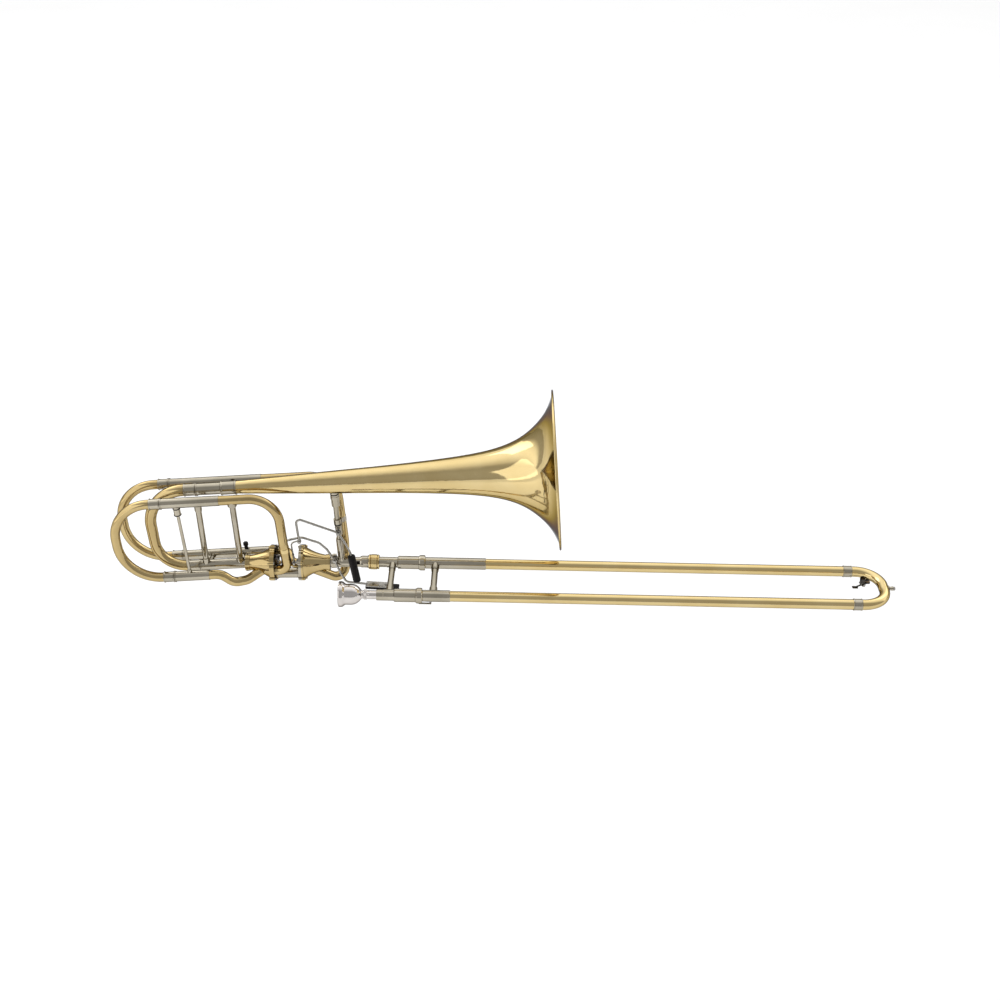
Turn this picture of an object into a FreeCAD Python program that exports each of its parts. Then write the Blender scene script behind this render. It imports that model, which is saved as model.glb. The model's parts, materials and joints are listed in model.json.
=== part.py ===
import FreeCAD, Part
import math
import os

# Bass trombone with two in-line axial-flow valves, as separate pieces. Millimetres.
#
# Model frame: the origin is the middle of the left hand's brace on the inner slide.
# +X runs along the slide to its bow, +Z is up, and the bell section stands at +Y.
# The slide's two legs lie level, at Y = -half_span (mouthpiece) and +half_span (bell).
#
# Bell frame: the plane of the bell section, with its origin on the slide's bell-side leg
# and its X axis along the bell, which rises towards its mouth by bell_pitch.
#
# Valve frame: X along the axis that both valves share, with its origin at the lock nut.

Vector = FreeCAD.Vector

# ---- driving dimensions -------------------------------------------------------------
leg_spacing = 90.0              # between the slide's two legs
half_span = leg_spacing / 2
bell_pitch = 4.89               # degrees, bell axis against the slide
bell_height = 150.0             # bell axis above the bell frame's X axis
bell_mouth_x = 253.8
bell_rim_radius = 120.65        # a 9 1/2 inch bell
bell_wall = 0.8

bore_radius = 7.135             # 0.562 inch slide bore
inner_tube_radius = 7.45
stocking_radius = 7.55
outer_tube_bore = 7.62
outer_tube_radius = 8.0

loop_tube_radius = 7.3          # brass tube of the two valve loops
loop_sleeve_radius = 7.85
sleeve_gap = 0.05               # running clearance of a tuning slide's leg
tube_wall = 0.45

f_loop_y = 37.2                 # the F loop's plane, behind the bell
f_loop_top = 140.8
f_loop_bottom = 9.8
gflat_loop_y = -30.0            # the G flat loop's plane, in front of the bell
gflat_loop_top = 145.5
gflat_loop_bottom = 14.5
main_bottom = 13.9              # lower leg of the main tuning slide

f_bow_x = -427.0                # centre lines of the two loop bows at their far end
gflat_bow_x = -422.0
loop_bend = 60.0
main_bow_x = -372.8
main_bend = 61.8

neck_x = -29.0                  # lock nut, in the model frame
valve_plate_radius = 28.5
valve_port_radius = 17.0        # of the plate's ports, from the valve axis
main_port_angle = -102.0        # degrees from +Y towards +Z
valve_turn = 65.0               # a rotor's travel, and the angle between a plate's ports

wire_radius = 1.75
pin_radius = 1.5
pin_gap = 0.05


# ---- helpers ------------------------------------------------------------------------
def frame_at(x, y, pitch):
    """A frame at height zero whose X axis rises by pitch degrees."""
    turn = FreeCAD.Rotation(Vector(0, 1, 0), -pitch)
    return FreeCAD.Placement(Vector(x, y, 0), turn)


def between(start, end, radius):
    """A round bar from one point to another."""
    run = end - start
    return Part.makeCylinder(radius, run.Length, start, run)


def bar(x0, x1, radius, y=0.0, z=0.0):
    """A round bar along X."""
    return between(Vector(x0, y, z), Vector(x1, y, z), radius)


def sleeve(x0, x1, outer, inner, y=0.0, z=0.0):
    """A straight tube along X."""
    hole = bar(x0 - 1, x1 + 1, inner, y, z)
    return bar(x0, x1, outer, y, z).cut(hole)


def turned(outline, y=0.0, z=0.0):
    """A solid of revolution about X from a closed outline of (x, radius) points."""
    points = [Vector(x, 0, radius) for x, radius in outline]
    face = Part.Face(Part.makePolygon(points + points[:1]))
    solid = face.revolve(Vector(0, 0, 0), Vector(1, 0, 0), 360)
    solid.translate(Vector(0, y, z))
    return solid


def ferrule(x0, x1, outer, inner, y=0.0, z=0.0, bead=0.5, width=2.0):
    """A sleeve with a raised, bevelled band at each end."""
    crest = outer + bead
    bevel = bead * 0.8
    outline = [(x0, inner), (x0, crest - bevel), (x0 + bevel, crest),
               (x0 + width - bevel, crest), (x0 + width, outer),
               (x1 - width, outer), (x1 - width + bevel, crest),
               (x1 - bevel, crest), (x1, crest - bevel), (x1, inner)]
    return turned(outline, y, z)


def path_through(points, bends):
    """Straight runs joined by tangent arcs; one bend radius for each inner point."""
    edges = []
    last = points[0]
    for before, corner, after, radius in zip(points, points[1:], points[2:], bends):
        back = (before - corner).normalize()
        ahead = (after - corner).normalize()
        half = back.getAngle(ahead) / 2
        reach = radius / math.tan(half)
        inward = (back + ahead).normalize()
        start = corner + back * reach
        end = corner + ahead * reach
        middle = corner + inward * (radius / math.sin(half) - radius)
        if (start - last).Length > 1e-6:
            edges.append(Part.LineSegment(last, start).toShape())
        edges.append(Part.Arc(start, middle, end).toShape())
        last = end
    if (points[-1] - last).Length > 1e-6:
        edges.append(Part.LineSegment(last, points[-1]).toShape())
    return Part.Wire(edges)


def circle_wire(centre, direction, radius):
    return Part.Wire([Part.Circle(centre, direction, radius).toShape()])


def swept(points, bends, radius, end_radius=None):
    """A round bar along a bent path, tapering evenly when end_radius is given."""
    path = path_through(points, bends)
    rings = [circle_wire(points[0], points[1] - points[0], radius)]
    if end_radius is not None:
        rings.append(circle_wire(points[-1], points[-1] - points[-2], end_radius))
    return path.makePipeShell(rings, True, False)


def bent_tube(points, bends, radius, wall=tube_wall, end_radius=None):
    inner_end = None if end_radius is None else end_radius - wall
    core = swept(points, bends, radius - wall, inner_end)
    return swept(points, bends, radius, end_radius).cut(core)


def biggest(shape):
    """The largest solid of a cut's result, without the crumbs."""
    return max(shape.Solids, key=lambda solid: solid.Volume)


def less(shape, *others):
    """The shape with its neighbours' room taken out, so that they meet face to face."""
    for other in others:
        shape = shape.cut(other)
    return biggest(shape)


def joined(first, *others):
    for other in others:
        first = first.fuse(other)
    merged = first.removeSplitter()
    return biggest(merged if merged.isValid() else first)


def rounded_block(low, high, radius):
    """A box with all its edges rounded."""
    size = high - low
    block = Part.makeBox(size.x, size.y, size.z, low)
    return block.makeFillet(radius, block.Edges)


bell_frame = frame_at(9.0, half_span, bell_pitch)
inlet_x = -237.5                # where the lower leg meets the second valve, bell frame
inlet = bell_frame.multVec(Vector(inlet_x, 0, main_bottom))
valve_pitch = math.degrees(math.atan2(-inlet.z, neck_x - inlet.x))
valve_frame = frame_at(neck_x, half_span, valve_pitch)
valve_to_bell = bell_frame.inverse().multiply(valve_frame)


def write(node, *solids, frame=None):
    """One STEP file for a node, in the model frame."""
    placed = []
    for solid in solids:
        solid = solid.copy()
        if frame is not None:
            solid.Placement = frame.multiply(solid.Placement)
        placed.append(solid)
    shape = placed[0] if len(placed) == 1 else Part.makeCompound(placed)
    shape.exportStep("parts/" + node + ".step")
    bad = [solid for solid in shape.Solids if not solid.isValid()]
    print(node, "solids", len(shape.Solids), "volume", round(shape.Volume),
          "INVALID" if bad or not shape.Solids else "")


# ---- mouthpiece and inner slide, in the model frame ----------------------------------
barrel_start = 7.3
barrel_end = 50.0
lock_ring_start = 41.2
barrel_radius = 10.15
barrel_bore = 9.3
barrel_ring_radius = 11.95
receiver_start = -18.7
receiver_radius = 8.45
neck_radius = 8.0
slide_end = 690.0
closed_gap = 16.3               # where the closed outer tubes stop, against the bumpers


def mouthpiece():
    """Rim, cup, knurled throat and tapered shank; the shank sits in the receiver."""
    y = -half_span
    outside = [(-75.9, 15.2), (-75.9, 17.6), (-75.3, 18.9), (-74.0, 19.4), (-71.0, 19.4),
               (-69.0, 18.8), (-67.4, 17.4), (-66.2, 16.3), (-64.5, 15.7), (-61.5, 15.7),
               (-57.5, 15.9), (-53.5, 15.5), (-50.0, 14.4), (-47.0, 12.7), (-44.6, 10.6),
               (-42.6, 8.2), (-41.2, 6.6), (-40.0, 6.0), (-38.8, 6.2), (-37.6, 6.9),
               (-36.0, 7.1), (-34.0, 7.1), (-32.6, 6.8), (-31.6, 6.5),
               (-29.8, 6.9), (-28.5, 6.75), (receiver_start, 6.62), (8.0, 6.2)]
    inside = [(8.0, 5.2), (-28.0, 3.7), (-40.0, 3.6), (-43.5, 4.6), (-48.0, 7.8),
              (-54.0, 11.2), (-62.0, 13.2), (-71.0, 13.9), (-74.6, 14.1), (-75.5, 14.5)]
    write("mouthpiece", turned(outside + inside, y))


def leadpipe_and_receiver():
    """The receiver holds the shank; the leadpipe carries on inside the inner tube."""
    y = -half_span
    receiver = [(receiver_start, 6.70), (receiver_start, 8.1), (receiver_start + 0.4, receiver_radius),
                (-9.0, receiver_radius), (-8.6, 8.2), (-8.2, receiver_radius),
                (barrel_start, receiver_radius), (barrel_start, 7.5), (-2.0, 7.5), (-2.0, 6.45)]
    write("mouthpiece_receiver", turned(receiver, y))
    leadpipe = [(-2.0, 6.45), (-2.0, 7.1), (240.0, 7.1), (240.0, 6.9), (30.0, 6.0), (9.0, 6.28)]
    write("leadpipe", turned(leadpipe, y))


def inner_slide():
    """Plated inner tubes with stockings, cork barrels, bumpers, neck and brace."""
    tubes = []
    barrels = []
    bumpers = []
    stocking_length = 100.0
    for side in (-1, 1):
        y = side * half_span
        start = barrel_start if side < 0 else -21.0
        stocking = slide_end - stocking_length
        outline = [(start, bore_radius), (start, inner_tube_radius),
                   (stocking, inner_tube_radius), (stocking + 1, stocking_radius),
                   (slide_end - 1, stocking_radius), (slide_end, inner_tube_radius - 0.1),
                   (slide_end, bore_radius)]
        tubes.append(turned(outline, y))
        closed = inner_tube_radius
        crest = barrel_radius
        outline = [(barrel_start, closed), (barrel_start, receiver_radius + 0.4),
                   (barrel_start + 1.2, crest), (lock_ring_start - 1.4, crest),
                   (lock_ring_start - 1.0, crest + 0.6), (lock_ring_start - 0.2, crest + 0.6)]
        if side < 0:
            outline += [(lock_ring_start - 0.2, crest), (barrel_end, crest)]
        else:
            outline += [(lock_ring_start, crest + 1.3), (lock_ring_start + 1, barrel_ring_radius),
                        (barrel_end - 1, barrel_ring_radius), (barrel_end, crest + 1)]
        outline += [(barrel_end, barrel_bore), (barrel_start + 2, barrel_bore),
                    (barrel_start + 2, closed)]
        barrels.append(turned(outline, y))
        bumpers.append(sleeve(barrel_start + 2, closed_gap - 0.3, barrel_bore - 0.1, closed, y))
    write("inner_slide_tubes", *tubes)
    write("cork_barrels", *barrels)
    write("barrel_bumpers", *bumpers)


tenon_tip = -47.0


def slide_tenon():
    """Nickel neck on the bell side: taper inside the bell lock, collar and tube."""
    y = half_span
    outline = [(tenon_tip, bore_radius), (tenon_tip, 8.0), (neck_x - 9.0, 8.4),
               (nut_end - 1.4, 8.4), (nut_end - 1.4, neck_radius), (barrel_start, neck_radius),
               (barrel_start, inner_tube_radius), (-21.0, inner_tube_radius),
               (-21.0, bore_radius)]
    write("slide_tenon", turned(outline, y))


nut_start = -37.4
nut_end = -21.1
nut_radius = 11.8


def lock_nut():
    """Knurled nut that clamps the slide to the bell section."""
    y = half_span
    outline = [(nut_start, 10.0), (nut_start, 10.8), (nut_start + 1.0, nut_radius - 0.2),
               (nut_start + 2.4, nut_radius - 0.2), (nut_start + 3.0, nut_radius - 1.2),
               (nut_start + 3.6, nut_radius), (nut_end - 3.6, nut_radius),
               (nut_end - 3.0, nut_radius - 1.2), (nut_end - 2.4, nut_radius - 0.4),
               (nut_end - 1.0, nut_radius - 0.4), (nut_end, 10.2), (nut_end, 8.1),
               (nut_end - 1.0, 8.1), (nut_end - 1.0, 10.0)]
    nut = turned(outline, y)
    grooves = 24
    first = nut_start + 4.2
    last = nut_end - 4.2
    for index in range(grooves):
        turn = math.tau * index / grooves
        groove = bar(first, last, 0.45, y + nut_radius * math.cos(turn),
                     nut_radius * math.sin(turn))
        nut = nut.cut(groove)
    write("lock_nut", biggest(nut))


def hand_brace(x, near, far, collar, grip, bead_at):
    """A cross tube between the legs, with a socket and saddle at each end."""
    low = Vector(x, -half_span, 0)
    high = Vector(x, half_span, 0)
    cross = between(low, high, grip)
    parts = []
    for side in (-1, 1):
        foot = Vector(x, side * half_span, 0)
        socket_end = Vector(x, side * (half_span - bead_at), 0)
        parts.append(between(foot, socket_end, collar))
        bead_start = Vector(x, side * (half_span - bead_at - 2.0), 0)
        parts.append(between(bead_start, socket_end, collar - 0.35))
        saddle = bar(x - 9.0, x + 9.0, (near if side < 0 else far) + 0.8, side * half_span)
        window = Part.makeBox(18.0, 9.0, 11.0, Vector(x - 9.0, -4.5 + side * (half_span - 6.0), -5.5))
        parts.append(saddle.common(window))
    brace = joined(cross, *parts)
    room = [bar(x - 20, x + 20, near, -half_span), bar(x - 20, x + 20, far, half_span)]
    return less(brace, *room)


def inner_hand_brace():
    brace = hand_brace(0.0, receiver_radius, neck_radius, 5.4, 4.75, 22.0)
    barrels = [bar(barrel_start - 0.01, barrel_end, barrel_ring_radius, side * half_span)
               for side in (-1, 1)]
    write("inner_hand_brace", less(brace, *barrels))


# ---- slide lock ----------------------------------------------------------------------
lock_angle_open = -110.0
lock_peg_angle = -66.0
lock_peg_x = 57.6


def around_leg(shape, angle):
    """Turns a shape drawn below the mouthpiece-side leg to an angle round that leg."""
    shape.rotate(Vector(0, -half_span, 0), Vector(1, 0, 0), angle + 90.0)
    return shape


def slide_lock():
    """A ring that turns on the cork barrel; its hook catches a peg on the outer slide."""
    y = -half_span
    ring = turned([(lock_ring_start, barrel_radius + pin_gap), (lock_ring_start, barrel_ring_radius - 0.8),
                   (lock_ring_start + 0.8, barrel_ring_radius),
                   (barrel_end - 0.8, barrel_ring_radius), (barrel_end, barrel_ring_radius - 0.8),
                   (barrel_end, barrel_radius + pin_gap)], y)
    arm = Part.makeBox(19.0, 4.0, 1.8, Vector(45.0, y - 2.0, -12.7))
    claw = Part.makeBox(3.2, 7.2, 1.8, Vector(60.8, y - 2.0, -12.7))
    hook = around_leg(joined(arm, claw), lock_angle_open)
    write("slide_lock_ring", joined(ring, hook))


def slide_lock_lug():
    y = -half_span
    peg = between(Vector(lock_peg_x, y, -8.5), Vector(lock_peg_x, y, -13.2), 1.4)
    pad = Part.makeBox(7.0, 5.0, 2.2, Vector(lock_peg_x - 3.5, y - 2.5, -10.4))
    lug = around_leg(joined(peg, pad), lock_peg_angle)
    write("slide_lock_lug", less(lug, bar(40, 90, outer_sleeve_radius, y)))


# ---- outer slide ---------------------------------------------------------------------
outer_sleeve_radius = 8.9
outer_sleeve_start = 50.5
sleeve_end_mouthpiece = 92.2
sleeve_end_bell = 144.4
bow_ferrule_start = 698.5
bow_ferrule_end = 712.0
bow_joint = 705.5
slide_bow_x = 753.0
slide_bow_bend = 38.5


def outer_slide():
    tubes = []
    sleeves = []
    for side, end in ((-1, sleeve_end_mouthpiece), (1, sleeve_end_bell)):
        y = side * half_span
        tubes.append(sleeve(closed_gap, bow_joint, outer_tube_radius, outer_tube_bore, y))
        outline = [(outer_sleeve_start, outer_tube_radius), (outer_sleeve_start, outer_sleeve_radius - 0.3),
                   (outer_sleeve_start + 0.4, outer_sleeve_radius), (end - 1.2, outer_sleeve_radius),
                   (end, outer_tube_radius + 0.3), (end, outer_tube_radius)]
        sleeves.append(turned(outline, y))
    write("outer_slide_tubes", *tubes)
    write("outer_sleeves", *sleeves)
    brace = hand_brace(66.0, outer_sleeve_radius, outer_sleeve_radius, 6.1, 4.9, 19.5)
    clear_of = [bar(30, outer_sleeve_start - 0.01, 14.0, side * half_span) for side in (-1, 1)]
    write("outer_hand_brace", less(brace, *clear_of))


def slide_bow_points():
    return [Vector(bow_joint, half_span, 0), Vector(slide_bow_x, half_span, 0),
            Vector(slide_bow_x, -half_span, 0), Vector(bow_joint, -half_span, 0)]


def slide_bow():
    points = slide_bow_points()
    bends = [slide_bow_bend] * 2
    bow = bent_tube(points, bends, outer_tube_radius, outer_tube_radius - bore_radius)
    bow_room = swept(points, bends, outer_tube_radius)
    key_port = between(water_port, water_port - water_up * 9.0, 1.8)
    write("slide_bow", less(bow, key_port))
    ferrules = [ferrule(bow_ferrule_start, bow_ferrule_end, 8.7, outer_tube_radius, side * half_span,
                        0.0, 0.35, 1.8) for side in (-1, 1)]
    write("slide_bow_ferrules", *ferrules)
    nose = slide_bow_x + outer_tube_radius
    holder = turned([(nose - 3.0, 0.0), (nose - 3.0, 4.4), (nose + 0.4, 4.4), (nose + 1.6, 3.0),
                     (nose + 4.0, 2.7), (nose + 4.4, 3.3), (nose + 6.6, 3.3), (nose + 6.6, 2.0),
                     (nose + 3.6, 2.0), (nose + 3.6, 0.0)])
    write("bumper_holder", less(holder, bow_room))
    tip = turned([(nose + 3.6, 0.0), (nose + 3.6, 2.0), (nose + 6.6, 2.0), (nose + 7.0, 2.9),
                  (nose + 8.4, 3.2), (nose + 9.6, 2.6), (nose + 10.0, 1.6), (nose + 10.0, 0.0)])
    write("bumper_tip", tip)
    return bow_room


# ---- water key, hung under the bow near the bell-side leg ----------------------------
water_up = Vector(0, 0.26, 1.0).normalize()
water_port = Vector(slide_bow_x - 16.0, half_span - 6.0, 0)
water_pivot = water_port + Vector(-8.5, -6.4, -14.4)
water_axis = Vector(0.40, -1.0, 0.0).normalize()


def water_key(bow_room):
    """Nipple and saddle on the bow, sprung lever, cork and hinge screw."""
    down = water_up * -1.0
    nipple_end = water_port + down * 11.4
    nipple = between(water_port, nipple_end, 3.2).cut(between(water_port, nipple_end + down, 1.8))
    half = water_axis * 4.4
    posts = []
    for sign in (-1, 1):
        lug = water_pivot + half * sign
        top = lug + Vector(0, 2.5, 9.5)
        posts.append(between(lug - half * 0.16, lug + half * 0.16, 2.3))
        posts.append(between(lug, top, 1.3))
    bridge_low = water_pivot + Vector(-3.2, -3.6, 5.4)
    bridge = Part.makeBox(6.4, 9.0, 5.0, bridge_low)
    pin_room = between(water_pivot - water_axis * 8, water_pivot + water_axis * 8, pin_radius * 0.6)
    barrel_room = between(water_pivot - water_axis * 3.4, water_pivot + water_axis * 3.4, 3.4)
    saddle = joined(posts[0], bridge, *posts[1:]).cut(barrel_room)
    saddle = less(saddle, pin_room, bow_room)
    nipple = less(nipple, bow_room)
    write("water_key_saddle", saddle, nipple)
    screw = between(water_pivot - water_axis * 5.6, water_pivot + water_axis * 5.4, pin_radius * 0.6)
    head = between(water_pivot + water_axis * 5.2, water_pivot + water_axis * 6.4, 2.0)
    write("water_key_screw", less(joined(screw, head), saddle))

    cork_top = nipple_end + down * 0.05
    cork_low = cork_top + down * 2.6
    cup_low = cork_top + down * 3.6
    cork = between(cork_top, cork_low, 3.4)
    write("water_key_cork", cork)
    cup = between(cork_top + down * 1.0, cup_low, 4.1).cut(cork)
    barrel = between(water_pivot - water_axis * 3.0, water_pivot + water_axis * 3.0, 2.3)
    arm = swept([cup_low + water_up * 0.5, water_pivot + Vector(3.0, 1.2, -2.2),
                 water_pivot + Vector(-4.0, -2.4, -1.0), water_pivot + Vector(-9.8, -4.4, -2.8)],
                [6.0, 6.0], 1.2)
    paddle_at = water_pivot + Vector(-11.4, -4.9, -3.3)
    paddle = rounded_block(paddle_at - Vector(4.5, 2.8, 0.8), paddle_at + Vector(4.5, 2.8, 0.8), 0.7)
    hole = between(water_pivot - water_axis * 8, water_pivot + water_axis * 8,
                   pin_radius * 0.6 + pin_gap)
    lever = joined(arm, paddle, barrel, cup).cut(hole).cut(cork)
    write("water_key_lever", biggest(lever))
    springs = [Part.makeTorus(2.85, 0.25, water_pivot + water_axis * offset, water_axis)
               for offset in (-2.4, 2.4)]
    write("water_key_spring", *springs)


# ---- bell, in the bell frame ---------------------------------------------------------
bell_tail_x = -234.0
bell_outline = [(bell_tail_x, 9.75), (-160.0, 13.5), (-90.0, 17.0), (-10.0, 20.7), (70.0, 25.7),
                (130.0, 31.8), (170.0, 39.8), (200.0, 52.0), (224.8, 70.6), (241.2, 90.6),
                (250.2, 110.0)]
rim_wire_radius = 1.5


def bell():
    """The flare is a spun sheet of even thickness; its edge closes on a round wire."""
    rim_centre = bell_rim_radius - rim_wire_radius
    edge = (bell_mouth_x - 0.7, rim_centre - rim_wire_radius + 0.1)
    outside = [Vector(x, 0, r) for x, r in bell_outline + [edge]]
    outer = Part.BSplineCurve()
    outer.interpolate(outside)
    inside = []
    for point in outside:
        slope = outer.tangent(outer.parameter(point))[0]
        normal = Vector(slope.z, 0, -slope.x).normalize()
        inside.append(point + normal * bell_wall)
    inner = Part.BSplineCurve()
    inner.interpolate(inside)
    outline = Part.Wire([outer.toShape(), Part.LineSegment(outside[-1], inside[-1]).toShape(),
                         inner.toShape(), Part.LineSegment(inside[0], outside[0]).toShape()])
    solid = Part.Face(outline).revolve(Vector(0, 0, 0), Vector(1, 0, 0), 360)
    solid.translate(Vector(0, 0, bell_height))
    closing = Part.makePolygon([outside[-1], Vector(outside[-1].x, 0, 0),
                                Vector(outside[0].x, 0, 0), outside[0]])
    outline = Part.Wire([outer.toShape()] + closing.Edges)
    filled = Part.Face(outline).revolve(Vector(0, 0, 0), Vector(1, 0, 0), 360)
    filled.translate(Vector(0, 0, bell_height))
    write("bell", solid, frame=bell_frame)
    ring = Part.makeTorus(rim_centre, rim_wire_radius,
                          Vector(bell_mouth_x - rim_wire_radius, 0, bell_height), Vector(1, 0, 0))
    write("bell_rim_wire", less(ring, solid), frame=bell_frame)
    return solid, filled


# ---- tuning slides, in the bell frame ------------------------------------------------
bell_ferrule_start = -255.0
bell_ferrule_end = -231.0
main_top_ferrule_start = -311.6
main_top_sleeve_start = -293.0
main_low_ferrule_start = -326.0
main_low_sleeve_start = -308.0
main_leg_top = 8.4
main_leg_low = 7.5


def main_tuning_slide():
    top = bell_height
    low = main_bottom
    collar = ferrule(bell_ferrule_start, bell_ferrule_end, 10.4, main_leg_top + sleeve_gap, 0, top,
                     0.4, 3.0)
    tail_room = turned([(bell_tail_x - 0.01, 0), (bell_tail_x - 0.01, 9.76),
                        (bell_ferrule_end + 1, 9.95), (bell_ferrule_end + 1, 0)], 0, top)
    write("bell_ferrule", less(collar, tail_room), frame=bell_frame)
    upper = sleeve(main_top_sleeve_start, bell_ferrule_start, 9.2, main_leg_top + sleeve_gap, 0, top)
    lower = sleeve(main_low_sleeve_start, inlet_x, 8.3, main_leg_low + sleeve_gap, 0, low)
    write("main_sleeves", upper, less(lower, valve_room("gflat")), frame=bell_frame)

    top_leg = sleeve(main_top_ferrule_start + 1, -238.0, main_leg_top, main_leg_top - tube_wall, 0, top)
    low_leg = sleeve(main_low_ferrule_start + 1, -246.0, main_leg_low, main_leg_low - tube_wall, 0, low)
    top_ferrule = ferrule(main_top_ferrule_start, main_top_sleeve_start - 0.2, 9.4, main_leg_top, 0,
                          top, 0.4)
    low_ferrule = ferrule(main_low_ferrule_start, main_low_sleeve_start - 0.2, 8.5, main_leg_low, 0,
                          low, 0.4)
    top_bow_end = main_top_ferrule_start + 0.01
    low_bow_end = main_low_ferrule_start + 0.01
    bow = bent_tube([Vector(low_bow_end, 0, low), Vector(main_bow_x, 0, low),
                     Vector(main_bow_x, 0, top), Vector(top_bow_end, 0, top)],
                    [main_bend - 16.0, main_bend - 2.0], 7.9, 0.6, 9.3)
    write("main_slide_legs", top_leg, low_leg, less(top_ferrule, bow), less(low_ferrule, bow),
          frame=bell_frame)
    write("main_tuning_bow", bow, frame=bell_frame)


def loop_tuning_slide(name, y, top, low, bow_x, sleeve_start, top_end, low_end):
    """One valve loop's tuning slide and the sleeves that it runs in."""
    slide_leg = loop_sleeve_radius - tube_wall - sleeve_gap
    ferrule_start = sleeve_start - 17.0
    sleeves = []
    legs = []
    ferrules = []
    for z, end in ((top, top_end), (low, low_end)):
        sleeves.append(sleeve(sleeve_start, end, loop_sleeve_radius, slide_leg + sleeve_gap, y, z))
        leg_end = min(end - 4.0, sleeve_start + 105.0)
        legs.append(sleeve(ferrule_start + 1, leg_end, slide_leg, slide_leg - tube_wall, y, z))
        ferrules.append(ferrule(ferrule_start, sleeve_start - 0.2, 8.0, slide_leg, y, z, 0.4))
    bow_end = ferrule_start + 0.01
    bow = bent_tube([Vector(bow_end, y, low), Vector(bow_x, y, low),
                     Vector(bow_x, y, top), Vector(bow_end, y, top)],
                    [loop_bend, loop_bend], loop_tube_radius)
    write(name + "_sleeves", *sleeves, frame=bell_frame)
    ferrules = [less(ring, bow) for ring in ferrules]
    write(name + "_slide_legs", *legs, *ferrules, frame=bell_frame)
    write(name + "_tuning_bow", bow, frame=bell_frame)


# ---- valves, in the valve frame ------------------------------------------------------
casing_length = 47.0
collar_length = 7.0
flange_start = 40.0
plate_start = 43.0
spindle_radius = 3.0
arm_reach = 11.0
valves = {"gflat": {"narrow": -200.0, "towards": 1, "turn": -valve_turn, "arm": 0.0},
          "f": {"narrow": -68.0, "towards": -1, "turn": valve_turn, "arm": 180.0}}
side_ports = {"gflat": (26.0, -135.0), "f": (30.0, -83.0)}


def loop_port_angle(name):
    return main_port_angle + valves[name]["turn"]


def valve_x(name, distance):
    """Distance from a valve's narrow end, along the valve frame's X axis."""
    valve = valves[name]
    return valve["narrow"] + valve["towards"] * distance


def round_valve(name, distance, radius, angle):
    """A point at a radius and angle round the valve axis."""
    turn = math.radians(angle)
    return Vector(valve_x(name, distance), radius * math.cos(turn), radius * math.sin(turn))


def flared(name, start, end, r0, r_mid, r1):
    """A solid of revolution whose side is one hollow arc, wide at its far end."""
    x0 = valve_x(name, start)
    x1 = valve_x(name, end)
    x_mid = (x0 + x1) / 2
    arc = Part.Arc(Vector(x0, 0, r0), Vector(x_mid, 0, r_mid), Vector(x1, 0, r1)).toShape()
    rest = Part.makePolygon([Vector(x1, 0, r1), Vector(x1, 0, 0), Vector(x0, 0, 0),
                             Vector(x0, 0, r0)])
    face = Part.Face(Part.Wire([arc] + rest.Edges))
    return face.revolve(Vector(0, 0, 0), Vector(1, 0, 0), 360)


def valve_disc(name, start, end, radius):
    x0 = valve_x(name, start)
    x1 = valve_x(name, end)
    return bar(min(x0, x1), max(x0, x1), radius)


def valve_outside(name):
    """Everything that the casing and its plate fill, without their openings."""
    body = flared(name, collar_length, flange_start, 11.6, 16.2, 25.6)
    lip = valve_disc(name, 0.0, collar_length, 12.4)
    band = valve_disc(name, 1.6, 3.4, 13.0)
    flange = valve_disc(name, flange_start, plate_start, valve_plate_radius - 0.4)
    return joined(lip, band, body, flange)


def valve_room(name):
    """The same, for cutting pieces drawn in the bell frame."""
    room = joined(valve_outside(name), valve_disc(name, 0, casing_length, 10.0),
                  valve_disc(name, plate_start, casing_length, valve_plate_radius))
    room.Placement = valve_to_bell.multiply(room.Placement)
    return room


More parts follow.
